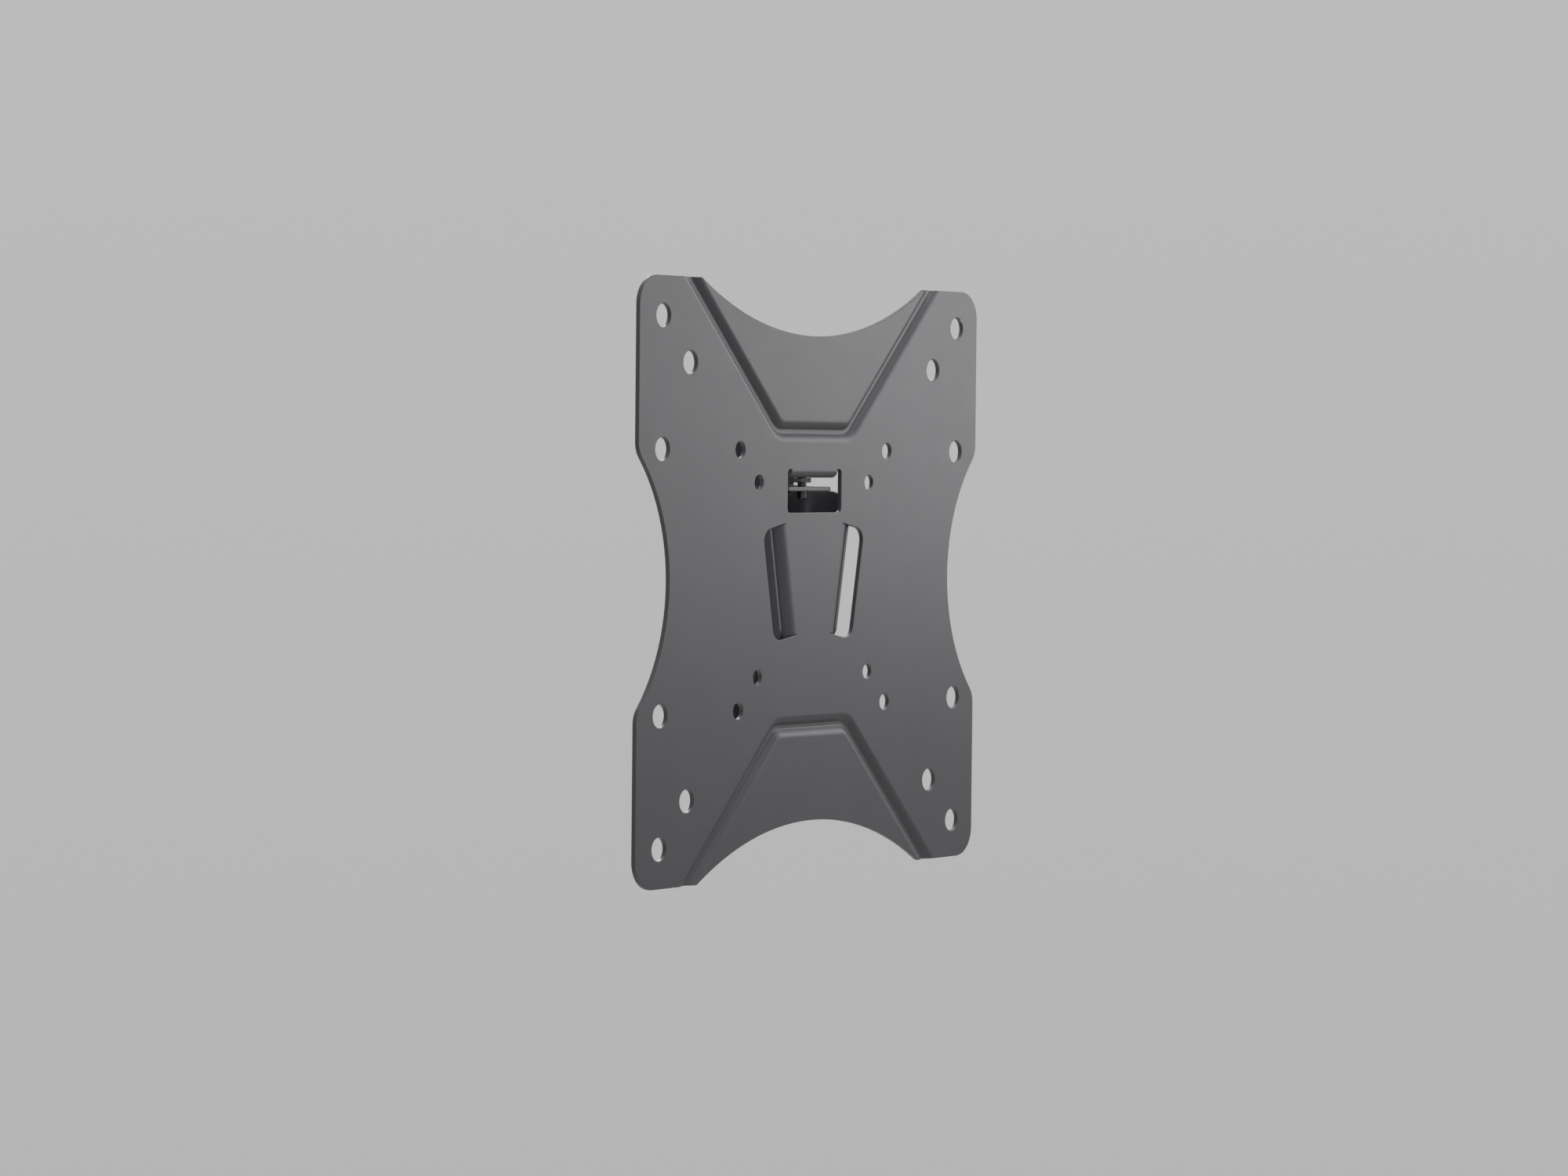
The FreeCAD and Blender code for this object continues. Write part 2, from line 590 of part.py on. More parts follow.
web = new_sketch(receiver, "web_outline", "XZ_Plane", f"-{WEB_FRONT}")
draw_polygon(web, [
    ("0", WEB_BOTTOM),
    (WEB_BOTTOM_HALF, WEB_BOTTOM),
    (WEB_TOP_HALF, WEB_TOP),
    (f"{SHOULDER_IN} + sizes.shoulder_width", "sizes.shoulder_top"),
    (SHOULDER_IN, "sizes.shoulder_top"),
    (SHOULDER_IN, WEB_TOP),
    ("0", WEB_TOP),
])
pad(receiver, web, THICKNESS, "web", backward=True)

cheek_section = leaning_sketch(receiver, "cheek_section")
draw_polygon(cheek_section, [
    (CHEEK_FOOT, WEB_BACK),
    (CHEEK_OUTER_KNEE, WEB_BACK),
    (CHEEK_TIP_OUT, CHEEK_TIP_OUT_DEPTH),
    (CHEEK_TIP_IN, "sizes.receiver_setback"),
    (CHEEK_KNEE, WEB_FRONT),
    (CHEEK_FOOT, WEB_FRONT),
])
pad(receiver, cheek_section, "sizes.receiver_rise", "cheek", other_length="sizes.receiver_drop")
CHEEK_MIDDLE = "(sizes.receiver_rise - sizes.receiver_drop) / 2"
cheek_bend = leaning_point(CHEEK_OUTER_KNEE, WEB_BACK, CHEEK_MIDDLE)
cheek_inner_bend = leaning_point(CHEEK_KNEE, WEB_FRONT, CHEEK_MIDDLE)
CHEEK_TIP_MIDDLE = f"({CHEEK_TIP_IN} + {CHEEK_TIP_OUT}) / 2"
CHEEK_TIP_MIDDLE_DEPTH = f"(sizes.receiver_setback + {CHEEK_TIP_OUT_DEPTH}) / 2"
cheek_nose = leaning_point(CHEEK_TIP_MIDDLE, CHEEK_TIP_MIDDLE_DEPTH, "sizes.receiver_rise")
cheek_heel = leaning_point(CHEEK_TIP_MIDDLE, CHEEK_TIP_MIDDLE_DEPTH, "-sizes.receiver_drop")
fillet(receiver, CHEEK_OUTER_BEND, "cheek_bend", middles=[cheek_bend])
fillet(receiver, "sizes.receiver_bend_radius", "cheek_inner_bend", middles=[cheek_inner_bend])
fillet(receiver, "sizes.receiver_nose_radius", "cheek_nose", middles=[cheek_nose])
fillet(receiver, "sizes.receiver_heel_radius", "cheek_heel", middles=[cheek_heel])

tongue_section = new_sketch(receiver, "tongue_section", "YZ_Plane")
draw_polygon(tongue_section, [
    (WEB_BACK, WEB_TOP),
    (WEB_BACK, "sizes.tongue_top"),
    ("sizes.receiver_setback", "sizes.tongue_top"),
    ("sizes.receiver_setback", TONGUE_UNDERSIDE),
    (WEB_FRONT, TONGUE_UNDERSIDE),
    (WEB_FRONT, WEB_TOP),
])
pad(receiver, tongue_section, TONGUE_HALF, "tongue")
tongue_quarter = worked(f"{TONGUE_HALF} / 2")
tongue_bend = (tongue_quarter, worked(WEB_BACK), worked("sizes.tongue_top"))
tongue_inner_bend = (tongue_quarter, worked(WEB_FRONT), worked(TONGUE_UNDERSIDE))
tongue_corner = (
    worked(TONGUE_HALF), worked("sizes.receiver_setback"), worked(f"sizes.tongue_top - {THICKNESS} / 2"),
)
fillet(receiver, OUTER_BEND, "tongue_bend", middles=[tongue_bend])
fillet(receiver, "sizes.bend_radius", "tongue_inner_bend", middles=[tongue_inner_bend])
fillet(receiver, "sizes.tongue_corner_radius", "tongue_corner", middles=[tongue_corner])
mirror(receiver, "YZ_Plane", "left_half_of_receiver")

tongue_hole = new_sketch(receiver, "tongue_hole_circle", "XY_Plane")
draw_circles(tongue_hole, [("0", "sizes.screw_setback", SCREW_HOLE)])
cut_through(receiver, tongue_hole, "tongue_hole")


def rivet_circles(diameter):
    """The four rivets' places, upper pair wide apart and lower pair close."""
    pairs = (
        ("sizes.rivet_upper_spacing / 2", "sizes.rivet_upper_height"),
        ("sizes.rivet_lower_spacing / 2", "sizes.rivet_lower_height"),
    )
    return [(sign + across, height, diameter) for across, height in pairs for sign in ("", "-")]


RIVET_HOLE = "sizes.rivet_diameter + sizes.rivet_fit"
receiver_rivet_holes = new_sketch(receiver, "receiver_rivet_circles", "XZ_Plane")
draw_circles(receiver_rivet_holes, rivet_circles(RIVET_HOLE))
cut_through(receiver, receiver_rivet_holes, "receiver_rivet_holes")

# Wall plate: flat strap with level slots for the wall screws, above and below the receiver
wall_plate = new_body("wall_plate")
STRAP_HALF = "sizes.wall_plate_width / 2"
strap = new_sketch(wall_plate, "strap_outline", "XZ_Plane", f"-{WEB_BACK}")
draw_polygon(strap, [
    (f"-{STRAP_HALF}", "sizes.wall_plate_bottom"),
    (STRAP_HALF, "sizes.wall_plate_bottom"),
    (STRAP_HALF, "sizes.wall_plate_top"),
    (f"-{STRAP_HALF}", "sizes.wall_plate_top"),
])
pad(wall_plate, strap, THICKNESS, "strap", backward=True)
wall_middle = worked(f"{WEB_BACK} + {THICKNESS} / 2")
wall_corners = [
    (worked(sign + STRAP_HALF), wall_middle, worked(height))
    for sign in ("", "-") for height in ("sizes.wall_plate_bottom", "sizes.wall_plate_top")
]
fillet(wall_plate, "sizes.wall_corner_radius", "wall_corner", middles=wall_corners)
wall_slots = new_sketch(wall_plate, "wall_slot_outlines", "XZ_Plane")
draw_slots(wall_slots, [
    (f"{sign}sizes.wall_slot_spacing / 2", height, "sizes.wall_slot_length", "sizes.wall_slot_width")
    for sign in ("", "-") for height in ("sizes.wall_slot_upper", "sizes.wall_slot_lower")
])
cut_through(wall_plate, wall_slots, "wall_slots")
wall_rivet_holes = new_sketch(wall_plate, "wall_rivet_circles", "XZ_Plane")
draw_circles(wall_rivet_holes, rivet_circles(RIVET_HOLE))
cut_through(wall_plate, wall_rivet_holes, "wall_rivet_holes")

# Rivets: shanks through web and wall plate, flush at the wall, with tapered heads on the web
receiver_rivets = new_body("receiver_rivets")
receiver_rivets.AllowCompound = True
shanks = new_sketch(receiver_rivets, "rivet_shank_circles", "XZ_Plane", f"-{WEB_FRONT}")
draw_circles(shanks, rivet_circles("sizes.rivet_diameter"))
pad(receiver_rivets, shanks, f"2 * {THICKNESS}", "rivet_shanks", backward=True)
heads = new_sketch(receiver_rivets, "rivet_head_circles", "XZ_Plane", f"-{WEB_FRONT}")
draw_circles(heads, rivet_circles("sizes.rivet_head_diameter"))
pad(receiver_rivets, heads, "sizes.rivet_head_height", "rivet_heads", taper="-sizes.rivet_head_taper")

# Lock screw: pan head on the tab, plain shank down through the tab and the tongue
lock_screw = new_body("lock_screw")
lock_screw.setExpression("Placement.Base.y", "sizes.screw_setback - sizes.mount_depth")
SCREW_RADIUS = "sizes.screw_diameter / 2"
HEAD_RADIUS = "sizes.screw_head_diameter / 2"
HEAD_TOP = f"({TAB_TOP} + sizes.screw_head_height)"
screw_half = new_sketch(lock_screw, "screw_section", "XZ_Plane")
draw_polygon(screw_half, [
    ("0", "sizes.screw_tip"),
    (f"{SCREW_RADIUS} - sizes.screw_tip_chamfer", "sizes.screw_tip"),
    (SCREW_RADIUS, "sizes.screw_tip + sizes.screw_tip_chamfer"),
    (SCREW_RADIUS, TAB_TOP),
    (HEAD_RADIUS, TAB_TOP),
    (HEAD_RADIUS, f"{HEAD_TOP} - sizes.screw_crown"),
    (f"{HEAD_RADIUS} - sizes.screw_crown", HEAD_TOP),
    ("0", HEAD_TOP),
])


def turn(body, sketch, kind, name):
    """A full turn of a sketch about its upright axis."""
    feature = body.newObject(f"PartDesign::{kind}", name)
    feature.Profile = sketch
    feature.ReferenceAxis = (sketch, ["V_Axis"])
    feature.Angle = 360
    doc.recompute()
    return feature


turn(lock_screw, screw_half, "Revolution", "screw_blank")
RECESS_HALF = "sizes.recess_span / 2"
ARM_HALF = "sizes.recess_arm / 2"
recess = new_sketch(lock_screw, "recess_outline", "XY_Plane", HEAD_TOP)
draw_polygon(recess, [
    (f"-{RECESS_HALF}", f"-{ARM_HALF}"),
    (f"-{ARM_HALF}", f"-{ARM_HALF}"),
    (f"-{ARM_HALF}", f"-{RECESS_HALF}"),
    (ARM_HALF, f"-{RECESS_HALF}"),
    (ARM_HALF, f"-{ARM_HALF}"),
    (RECESS_HALF, f"-{ARM_HALF}"),
    (RECESS_HALF, ARM_HALF),
    (ARM_HALF, ARM_HALF),
    (ARM_HALF, RECESS_HALF),
    (f"-{ARM_HALF}", RECESS_HALF),
    (f"-{ARM_HALF}", ARM_HALF),
    (f"-{RECESS_HALF}", ARM_HALF),
])
cut_in(lock_screw, recess, "sizes.recess_depth", "cross_recess")

# Retaining nut: hexagon under the tab, run up the screw, with its corners turned off at both faces
retaining_nut = new_body("retaining_nut")
retaining_nut.setExpression("Placement.Base.y", "sizes.screw_setback - sizes.mount_depth")
NUT_TOP = "(sizes.tab_underside - sizes.nut_play)"
NUT_BOTTOM = f"({NUT_TOP} - sizes.nut_height)"
NUT_CORNER = "(sizes.nut_flats / 2 / cos(30))"
hexagon = new_sketch(retaining_nut, "hexagon", "XY_Plane", NUT_BOTTOM)
draw_polygon(hexagon, [
    (f"{NUT_CORNER} * cos({angle})", f"{NUT_CORNER} * sin({angle})") for angle in range(30, 390, 60)
])
pad(retaining_nut, hexagon, "sizes.nut_height", "nut_blank")
nut_bore = new_sketch(retaining_nut, "nut_bore_circle", "XY_Plane", NUT_BOTTOM)
draw_circles(nut_bore, [("0", "0", "sizes.screw_diameter + 2 * sizes.thread_fit")])
cut_through(retaining_nut, nut_bore, "nut_bore")
NUT_RIM = f"({NUT_CORNER} + sizes.nut_height)"
CHAMFER_DROP = f"({NUT_RIM} - sizes.nut_flats / 2) * tan(sizes.nut_chamfer_angle)"
for face, inward, name in ((NUT_TOP, "-", "nut_top_chamfer"), (NUT_BOTTOM, "+", "nut_bottom_chamfer")):
    ring = new_sketch(retaining_nut, f"{name}_section", "XZ_Plane")
    chamfer_foot = f"{face} {inward} {CHAMFER_DROP}"
    draw_polygon(ring, [("sizes.nut_flats / 2", face), (NUT_RIM, face), (NUT_RIM, chamfer_foot)])
    nut_volume = retaining_nut.Shape.Volume
    chamfer = turn(retaining_nut, ring, "Groove", name)
    check_cut(chamfer, nut_volume)

# Every object is sound before anything is written
doc.recompute()
for item in doc.Objects:
    if "Invalid" in item.State or "Error" in item.State:
        raise RuntimeError(f"{item.Label} failed: {item.State}")
pieces = (screen_plate, receiver, wall_plate, receiver_rivets, lock_screw, retaining_nut)
for piece in pieces:
    if piece.Shape.isNull() or not piece.Shape.isValid():
        raise RuntimeError(f"{piece.Label} has no sound shape")

os.makedirs("parts", exist_ok=True)
for piece in pieces:
    piece.Shape.exportStep(f"parts/{piece.Label}.step")
    box = piece.Shape.BoundBox
    print(f"{piece.Label}: {len(piece.Shape.Solids)} solid(s), {piece.Shape.Volume:.1f} mm3,"
          f" {box.XLength:.2f} x {box.YLength:.2f} x {box.ZLength:.2f} mm")
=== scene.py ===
import bmesh
import bpy
import math
from mathutils import Matrix, Vector


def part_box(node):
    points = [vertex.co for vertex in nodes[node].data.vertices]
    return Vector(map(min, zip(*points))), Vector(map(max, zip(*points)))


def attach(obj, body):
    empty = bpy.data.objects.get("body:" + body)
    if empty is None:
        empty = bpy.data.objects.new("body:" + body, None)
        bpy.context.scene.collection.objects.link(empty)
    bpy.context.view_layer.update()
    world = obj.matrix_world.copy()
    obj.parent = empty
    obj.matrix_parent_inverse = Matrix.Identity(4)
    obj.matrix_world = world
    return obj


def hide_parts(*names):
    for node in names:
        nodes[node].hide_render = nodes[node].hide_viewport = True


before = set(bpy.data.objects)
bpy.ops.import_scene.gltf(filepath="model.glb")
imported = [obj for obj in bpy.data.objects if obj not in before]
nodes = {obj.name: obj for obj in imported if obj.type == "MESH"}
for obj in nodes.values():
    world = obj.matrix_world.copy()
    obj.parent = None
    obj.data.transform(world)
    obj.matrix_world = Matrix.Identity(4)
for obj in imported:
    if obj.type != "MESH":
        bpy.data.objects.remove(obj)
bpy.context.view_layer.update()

# Screen plate: one sheet of mild steel, cut, pressed and folded, then powder coated.
# It hangs by its ears in the receiver. The coat is chipped to bare steel at a few spots on its edges.
MM = 0.001
MERGE_DISTANCE = 0.001 * MM
FLAT_FACET_ANGLE = math.radians(0.4)
CUT_EDGE_ROUND = 0.25 * MM
# The sockets of a colour mix share their names, so they are taken by number
MIX_SHARE = 0
MIX_FIRST = 6
MIX_SECOND = 7
MIX_RESULT = 2


def linear(colour):
    """The linear red, green, blue and alpha of an sRGB colour written as six hex digits."""
    parts = [int(colour[place:place + 2], 16) / 255 for place in (0, 2, 4)]
    return [part / 12.92 if part <= 0.04045 else ((part + 0.055) / 1.055) ** 2.4 for part in parts] + [1.0]


def add(tree, kind, inputs=None, **settings):
    """Adds a node, sets its settings, and gives each named or numbered input a value or a link."""
    node = tree.nodes.new(kind)
    for name, value in settings.items():
        setattr(node, name, value)
    for place, value in (inputs or {}).items():
        if isinstance(value, bpy.types.NodeSocket):
            tree.links.new(value, node.inputs[place])
        else:
            node.inputs[place].default_value = value
    return node


def new_material(name):
    """A material with its node tree, its shader and the object's own coordinates."""
    material = bpy.data.materials.new(name)
    material.use_nodes = True
    tree = material.node_tree
    place = add(tree, "ShaderNodeTexCoord").outputs["Object"]
    return material, tree, tree.nodes["Principled BSDF"], place


def patches(tree, place, size, low=0.3, high=0.7, start=0.0, end=1.0):
    """Soft patches about a size across: noise between low and high, spread from start to end."""
    noise = add(tree, "ShaderNodeTexNoise", {"Vector": place, "Scale": 1 / size})
    values = add(tree, "ShaderNodeMapRange", {
        "Value": noise.outputs["Fac"],
        "From Min": low,
        "From Max": high,
        "To Min": start,
        "To Max": end,
    })
    return values.outputs["Result"]


def patchy_colour(tree, place, size, first, second, low=0.3, high=0.7):
    """Soft patches about a size across, in two colours that run into each other."""
    share = patches(tree, place, size, low, high)
    tones = {MIX_SHARE: share, MIX_FIRST: first, MIX_SECOND: second}
    return add(tree, "ShaderNodeMix", tones, data_type="RGBA").outputs[MIX_RESULT]


# Satin powder coat: sprayed on as powder and baked. To the eye it is a dull dark grey sheen
# with a faint mottle, a fine speckle and an orange peel.
MOTTLE_SIZE = 22 * MM
SPECKLE_SIZE = 0.6 * MM
SHEEN_PATCH_SIZE = 9 * MM
PEEL_HEIGHT = 0.05 * MM
PEEL_STRENGTH = 0.15
COAT, coat_tree, coat_shader, coat_place = new_material("satin_powder_coat")
mottle = patchy_colour(
    coat_tree, coat_place, MOTTLE_SIZE, linear("39393d"), linear("3c3c40"), low=0.35, high=0.65)
coat_colour = patchy_colour(
    coat_tree, coat_place, SPECKLE_SIZE, mottle, linear("414145"), low=0.45, high=0.75)
coat_roughness = patches(coat_tree, coat_place, SHEEN_PATCH_SIZE, start=0.45, end=0.47)
peel = add(coat_tree, "ShaderNodeTexNoise", {"Vector": coat_place, "Scale": 1 / SPECKLE_SIZE})
orange_peel = add(coat_tree, "ShaderNodeBump", {
    "Strength": PEEL_STRENGTH,
    "Distance": PEEL_HEIGHT,
    "Height": peel.outputs["Fac"],
})
coat_tree.links.new(orange_peel.outputs["Normal"], coat_shader.inputs["Normal"])

# Each chip has a place on the plate's edges and a radius, in millimetres, and a ragged rim
CHIPS = [
    ((0.7, -26.7, 26.0), 0.45),
    ((2.6, -26.7, 26.0), 0.6),
    ((103.2, -26.8, 103.0), 0.6),
    ((-91.0, -26.8, -115.0), 0.5),
    ((-85.5, -26.8, -115.0), 0.4),
]
CHIP_CORE = 0.8
RAGGED_SIZE = 0.5 * MM
BARE_STEEL = linear("8c8c8f")
BARE_ROUGHNESS = 0.5
ragged = patches(coat_tree, coat_place, RAGGED_SIZE, start=0.5, end=1.5)
bare = 0.0
for chip_place, chip_radius in CHIPS:
    centre = [part * MM for part in chip_place]
    distance = add(coat_tree, "ShaderNodeVectorMath", {0: coat_place, 1: centre}, operation="DISTANCE")
    ragged_reach = {0: distance.outputs["Value"], 1: ragged}
    reach = add(coat_tree, "ShaderNodeMath", ragged_reach, operation="MULTIPLY")
    chip = add(coat_tree, "ShaderNodeMapRange", {
        "Value": reach.outputs["Value"],
        "From Min": CHIP_CORE * chip_radius * MM,
        "From Max": chip_radius * MM,
        "To Min": 1.0,
        "To Max": 0.0,
    })
    either = add(coat_tree, "ShaderNodeMath", {0: bare, 1: chip.outputs["Result"]}, operation="MAXIMUM")
    bare = either.outputs["Value"]
chipped_colour = add(coat_tree, "ShaderNodeMix", {
    MIX_SHARE: bare,
    MIX_FIRST: coat_colour,
    MIX_SECOND: BARE_STEEL,
}, data_type="RGBA")
chipped_roughness = add(coat_tree, "ShaderNodeMix", {
    "Factor": bare,
    "A": coat_roughness,
    "B": BARE_ROUGHNESS,
})
coat_tree.links.new(chipped_colour.outputs[MIX_RESULT], coat_shader.inputs["Base Color"])
coat_tree.links.new(chipped_roughness.outputs["Result"], coat_shader.inputs["Roughness"])
coat_tree.links.new(bare, coat_shader.inputs["Metallic"])


def soften(piece, width, segments=2, angle=30):
    """Rounds every edge sharper than the angle, and leaves the flat faces flat."""
    weld = piece.modifiers.new("weld", "WELD")
    weld.merge_threshold = MERGE_DISTANCE
    flatten = piece.modifiers.new("join_flat_facets", "DECIMATE")
    flatten.decimate_type = "DISSOLVE"
    flatten.angle_limit = FLAT_FACET_ANGLE
    bevel = piece.modifiers.new("edge_rounding", "BEVEL")
    bevel.width = width
    bevel.segments = segments
    bevel.limit_method = "ANGLE"
    bevel.angle_limit = math.radians(angle)
    bevel.miter_outer = "MITER_SHARP"
    bevel.use_clamp_overlap = False
    shading = piece.modifiers.new("shading", "WEIGHTED_NORMAL")
    shading.keep_sharp = True


def finish_piece(piece, material):
    """Gives a piece its material."""
    piece.data.materials.clear()
    piece.data.materials.append(material)


soften(nodes["screen_plate"], CUT_EDGE_ROUND)
finish_piece(nodes["screen_plate"], COAT)

# Receiver: folded from one steel sheet, with two splayed cheeks that hold the plate's ears
# and a tongue on top that takes the lock screw. It has the plate's powder coat, on edges
# that are rounder than the plate's, and it is riveted to the wall plate.
RECEIVER_EDGE_ROUND = 0.45 * MM
soften(nodes["receiver"], RECEIVER_EDGE_ROUND, segments=4)
finish_piece(nodes["receiver"], COAT)

# Wall plate: a flat strap of steel sheet, cut with rounded corners and level slots for the wall screws.
# It has the same powder coat, and it lies flat on the wall.
soften(nodes["wall_plate"], CUT_EDGE_ROUND)
finish_piece(nodes["wall_plate"], COAT)

# Receiver rivets: four steel rivets that hold the receiver on the wall plate.
# They are pressed from wire, with low heads on the web, and upset flush at the wall.
# The bare steel is bright, with soft stains and a fine grit from the press.
RIVET_STAIN_SIZE = 1.2 * MM
RIVET_GRIT_SIZE = 0.3 * MM
RIVET_HEAD_ROUND = 0.5 * MM
RIVET, rivet_tree, rivet_shader, rivet_place = new_material("pressed_rivet_steel")
rivet_colour = patchy_colour(rivet_tree, rivet_place, RIVET_STAIN_SIZE, linear("8f9092"), linear("a6a6a8"))
rivet_roughness = patches(rivet_tree, rivet_place, RIVET_GRIT_SIZE, start=0.3, end=0.45)
rivet_tree.links.new(rivet_colour, rivet_shader.inputs["Base Color"])
rivet_tree.links.new(rivet_roughness, rivet_shader.inputs["Roughness"])
rivet_shader.inputs["Metallic"].default_value = 1.0
soften(nodes["receiver_rivets"], RIVET_HEAD_ROUND, segments=4)
finish_piece(nodes["receiver_rivets"], RIVET)

# Lock screw: an M4 pan head screw with a cross recess, captive in the plate's tab.
# It is cold headed from steel wire, its thread is rolled, and it is plated dark.
# The plating is a smooth dark metal that is cloudy close up.
CLOUD_SIZE = 0.8 * MM
PLATING_GRIT_SIZE = 0.25 * MM
PLATED, plated_tree, plated_shader, plated_place = new_material("dark_plated_steel")
plated_colour = patchy_colour(plated_tree, plated_place, CLOUD_SIZE, linear("5c5c5f"), linear("6c6c6f"))
plated_roughness = patches(plated_tree, plated_place, PLATING_GRIT_SIZE, start=0.28, end=0.36)
plated_tree.links.new(plated_colour, plated_shader.inputs["Base Color"])
plated_tree.links.new(plated_roughness, plated_shader.inputs["Roughness"])
plated_shader.inputs["Metallic"].default_value = 1.0

screw_low, screw_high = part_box("lock_screw")
SCREW_TIP = screw_low[2]
HEAD_TOP = screw_high[2]
HEAD_RADIUS = (screw_high[0] - screw_low[0]) / 2
AXIS_X = (screw_low[0] + screw_high[0]) / 2
AXIS_Y = (screw_low[1] + screw_high[1]) / 2
HEAD_HEIGHT = 2.6 * MM
HEAD_FOOT = HEAD_TOP - HEAD_HEIGHT
CROWN_WIDTH = 1.0 * MM
CROWN_HEIGHT = 1.4 * MM
CROWN_STEPS = 6
FOOT_ROUND = 0.15 * MM
NECK_RADIUS = 2.1 * MM
SCREW_RADIUS = 2.0 * MM
TIP_RADIUS = 1.5 * MM
PITCH = 0.7 * MM
THREAD_DEPTH = 0.43 * MM
# One turn of thread from root to root: share of the pitch, and share of the thread's depth
THREAD_FORM = [(0.0, 0.0), (0.25, 0.0), (0.5625, 1.0), (0.6875, 1.0), (1.0, 0.0)]
TURNS = math.ceil((HEAD_FOOT - SCREW_TIP) / PITCH) + 1
STEPS_PER_TURN = 40
RECESS_HALF = 2.1 * MM
ARM_HALF = 0.5 * MM
RECESS_DEPTH = 1.6 * MM
RECESS_TAPER = 0.7
CREASE_ANGLE = math.radians(35)


def spin_outline(outline, turns, rise):
    """Spins an outline of radii and heights round the screw's axis, rising by a height on every turn."""
    points = [shape.verts.new((AXIS_X + radius, AXIS_Y, height)) for radius, height in outline]
    lines = [shape.edges.new(pair) for pair in zip(points, points[1:])]
    bmesh.ops.spin(
        shape, geom=points + lines, cent=(AXIS_X, AXIS_Y, 0), axis=(0, 0, 1),
        dvec=(0, 0, rise / STEPS_PER_TURN), angle=math.tau * turns, steps=STEPS_PER_TURN * turns,
        use_merge=rise == 0, use_duplicate=False)
    bmesh.ops.remove_doubles(shape, verts=shape.verts[:], dist=MERGE_DISTANCE)


def open_edges(level):
    """The screw's open edges at a level."""
    return [
        edge for edge in shape.edges
        if edge.is_boundary and all(abs(vert.co.z - level) < MERGE_DISTANCE for vert in edge.verts)
    ]


# The thread is one outline of its form, spun upwards, cut level at both ends and turned off at the tip
shape = bmesh.new()
thread_outline = [
    (SCREW_RADIUS - THREAD_DEPTH * (1.0 - depth), SCREW_TIP + PITCH * (share - 1.0))
    for share, depth in THREAD_FORM
]
spin_outline(thread_outline, TURNS, PITCH)
for level, outward in ((SCREW_TIP, -1), (HEAD_FOOT, 1)):
    bmesh.ops.bisect_plane(
        shape, geom=shape.verts[:] + shape.edges[:] + shape.faces[:], dist=MERGE_DISTANCE,
        plane_co=(0, 0, level), plane_no=(0, 0, outward), clear_outer=True)
bmesh.ops.remove_doubles(shape, verts=shape.verts[:], dist=MERGE_DISTANCE)
for vert in shape.verts:
    from_axis = Vector((vert.co.x - AXIS_X, vert.co.y - AXIS_Y, 0))
    limit = TIP_RADIUS + vert.co.z - SCREW_TIP
    if from_axis.length > limit:
        vert.co -= from_axis * (1.0 - limit / from_axis.length)
bmesh.ops.holes_fill(shape, edges=open_edges(SCREW_TIP), sides=0)

# The head is spun from its half outline, joined to the thread, then closed on top round the recess
head_outline = [
    (NECK_RADIUS, HEAD_FOOT),
    (HEAD_RADIUS - FOOT_ROUND, HEAD_FOOT),
    (HEAD_RADIUS, HEAD_FOOT + FOOT_ROUND),
]
for step in range(CROWN_STEPS + 1):
    angle = math.radians(90 * step / CROWN_STEPS)
    head_outline.append((
        HEAD_RADIUS - CROWN_WIDTH * (1.0 - math.cos(angle)),
        HEAD_TOP - CROWN_HEIGHT * (1.0 - math.sin(angle)),
    ))
spin_outline(head_outline, 1, 0)
bmesh.ops.bridge_loops(shape, edges=open_edges(HEAD_FOOT))
head_rim = open_edges(HEAD_TOP)
cross = []
for quarter in range(4):
    turn = Matrix.Rotation(math.radians(90 * quarter), 3, "Z")
    for corner in ((RECESS_HALF, -ARM_HALF), (RECESS_HALF, ARM_HALF), (ARM_HALF, ARM_HALF)):
        cross.append(shape.verts.new(Vector((AXIS_X, AXIS_Y, HEAD_TOP)) + turn @ Vector((*corner, 0))))
cross_edges = [shape.edges.new(pair) for pair in zip(cross, cross[1:] + cross[:1])]
bmesh.ops.triangle_fill(shape, edges=head_rim + cross_edges, use_beauty=True)
walls = bmesh.ops.extrude_edge_only(shape, edges=cross_edges)["geom"]
recess_rim = [part for part in walls if isinstance(part, bmesh.types.BMEdge) and part.is_boundary]
for vert in {vert for edge in recess_rim for vert in edge.verts}:
    vert.co.x = AXIS_X + RECESS_TAPER * (vert.co.x - AXIS_X)
    vert.co.y = AXIS_Y + RECESS_TAPER * (vert.co.y - AXIS_Y)
    vert.co.z = HEAD_TOP - RECESS_DEPTH
bmesh.ops.triangle_fill(shape, edges=recess_rim, use_beauty=True)
bmesh.ops.recalc_face_normals(shape, faces=shape.faces[:])
for face in shape.faces:
    face.smooth = True
screw_mesh = bpy.data.meshes.new("threaded_lock_screw")
shape.to_mesh(screw_mesh)
shape.free()
screw_mesh.set_sharp_from_angle(angle=CREASE_ANGLE)
screw = bpy.data.objects.new("threaded_lock_screw", screw_mesh)
bpy.context.scene.collection.objects.link(screw)
finish_piece(screw, PLATED)
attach(screw, "lock_screw")
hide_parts("lock_screw")

# Retaining nut: a thin hexagon nut of the same plated steel, with chamfered corners.
# It sits on the screw under the tab and keeps the screw captive.
NUT_EDGE_ROUND = 0.05 * MM
soften(nodes["retaining_nut"], NUT_EDGE_ROUND, angle=40)
finish_piece(nodes["retaining_nut"], PLATED)

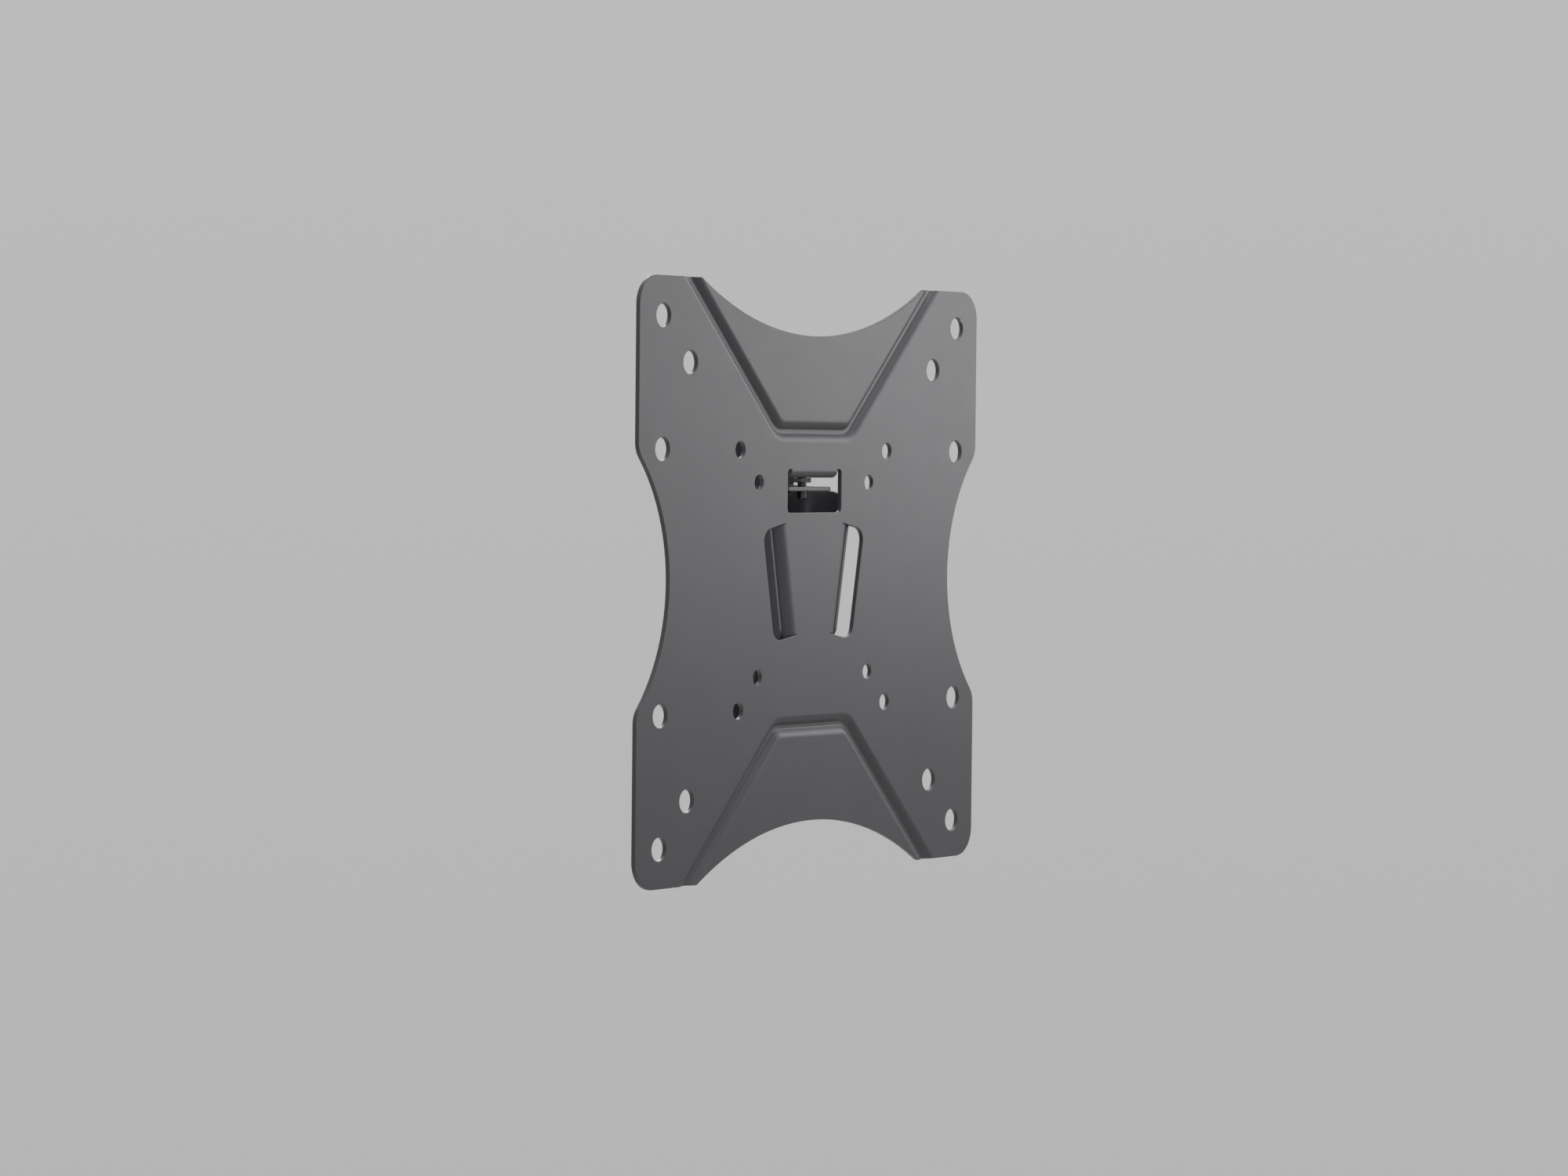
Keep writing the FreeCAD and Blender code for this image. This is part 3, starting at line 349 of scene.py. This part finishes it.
# Stage: a pale round floor well below the mount, a pale surround and four soft lights.
# The tall key light on the right gives the plate its sheen, and the others reach the
# pieces behind it. All lengths are in metres, and the power is in watts.
FLOOR_RADIUS = 1.6
FLOOR_LEVEL = -0.5
FLOOR_SIDES = 96
FLOOR_PATCH_SIZE = 0.12
FLOOR_ROUGHNESS = 0.8
SURROUND_FADE = 0.6
FLOOR, floor_tree, floor_shader, floor_place = new_material("pale_floor")
floor_colour = patchy_colour(floor_tree, floor_place, FLOOR_PATCH_SIZE, linear("b8b8b6"), linear("bcbcba"))
floor_tree.links.new(floor_colour, floor_shader.inputs["Base Color"])
floor_shader.inputs["Roughness"].default_value = FLOOR_ROUGHNESS
floor_mesh = bpy.data.meshes.new("floor")
shape = bmesh.new()
bmesh.ops.create_circle(
    shape, cap_ends=True, segments=FLOOR_SIDES, radius=FLOOR_RADIUS,
    matrix=Matrix.Translation((0, 0, FLOOR_LEVEL)))
shape.to_mesh(floor_mesh)
shape.free()
floor = bpy.data.objects.new("floor", floor_mesh)
bpy.context.scene.collection.objects.link(floor)
floor_mesh.materials.append(FLOOR)

world = bpy.data.worlds.new("pale_surround")
world.use_nodes = True
bpy.context.scene.world = world
bpy.context.scene.view_settings.view_transform = "Standard"
surround = world.node_tree
towards = add(surround, "ShaderNodeTexCoord").outputs["Generated"]
upward = add(surround, "ShaderNodeSeparateXYZ", {"Vector": towards}).outputs["Z"]
height_share = add(surround, "ShaderNodeMapRange", {
    "Value": upward,
    "From Min": -SURROUND_FADE,
    "From Max": SURROUND_FADE,
})
surround_colour = add(surround, "ShaderNodeMix", {
    MIX_SHARE: height_share.outputs["Result"],
    MIX_FIRST: linear("aaaaaa"),
    MIX_SECOND: linear("c6c6c6"),
}, data_type="RGBA")
surround.links.new(surround_colour.outputs[MIX_RESULT], surround.nodes["Background"].inputs["Color"])


def area_light(name, place, target, width, height, power):
    """A soft upright light at a place, turned to a target."""
    light = bpy.data.lights.new(name, "AREA")
    light.shape = "RECTANGLE"
    light.size = width
    light.size_y = height
    light.energy = power
    lamp = bpy.data.objects.new(name, light)
    lamp.location = place
    lamp.rotation_mode = "QUATERNION"
    lamp.rotation_quaternion = (Vector(target) - Vector(place)).to_track_quat("-Z", "Y")
    bpy.context.scene.collection.objects.link(lamp)


PLATE_MIDDLE = (0.0, -0.02, 0.0)
area_light("key_light", (0.46, -0.31, 0.18), (0.02, -0.02, 0.0), width=0.26, height=0.42, power=1.7)
area_light("top_light", (-0.1, -0.2, 0.9), PLATE_MIDDLE, width=0.5, height=0.5, power=9.0)
area_light("front_fill", (-0.84, -1.0, 0.2), PLATE_MIDDLE, width=0.4, height=0.4, power=1.2)
area_light("back_light", (0.5, 1.0, 0.6), (0.0, 0.0, 0.0), width=0.6, height=0.6, power=18.0)

# Camera: at the photograph's viewing angle, fitted to the plate's holes.
# The place is in metres, and the lens and the sensor are in millimetres.
CAMERA_PLACE = (-1.57188, -1.1189, 0.05092)
CAMERA_RIGHT = (0.57571, -0.81759, 0.00994)
CAMERA_FORWARD = (0.81746, 0.57527, -0.02859)
LENS = 112.505
SENSOR_WIDTH = 36.0
NEAREST = 0.05
FARTHEST = 50.0
camera = bpy.data.cameras.new("camera")
camera.lens = LENS
camera.sensor_width = SENSOR_WIDTH
camera.clip_start = NEAREST
camera.clip_end = FARTHEST
viewer = bpy.data.objects.new("camera", camera)
back = -Vector(CAMERA_FORWARD).normalized()
up = back.cross(Vector(CAMERA_RIGHT)).normalized()
right = up.cross(back)
turn = Matrix((right, up, back)).transposed()
viewer.matrix_world = Matrix.Translation(CAMERA_PLACE) @ turn.to_4x4()
bpy.context.scene.collection.objects.link(viewer)
bpy.context.scene.camera = viewer
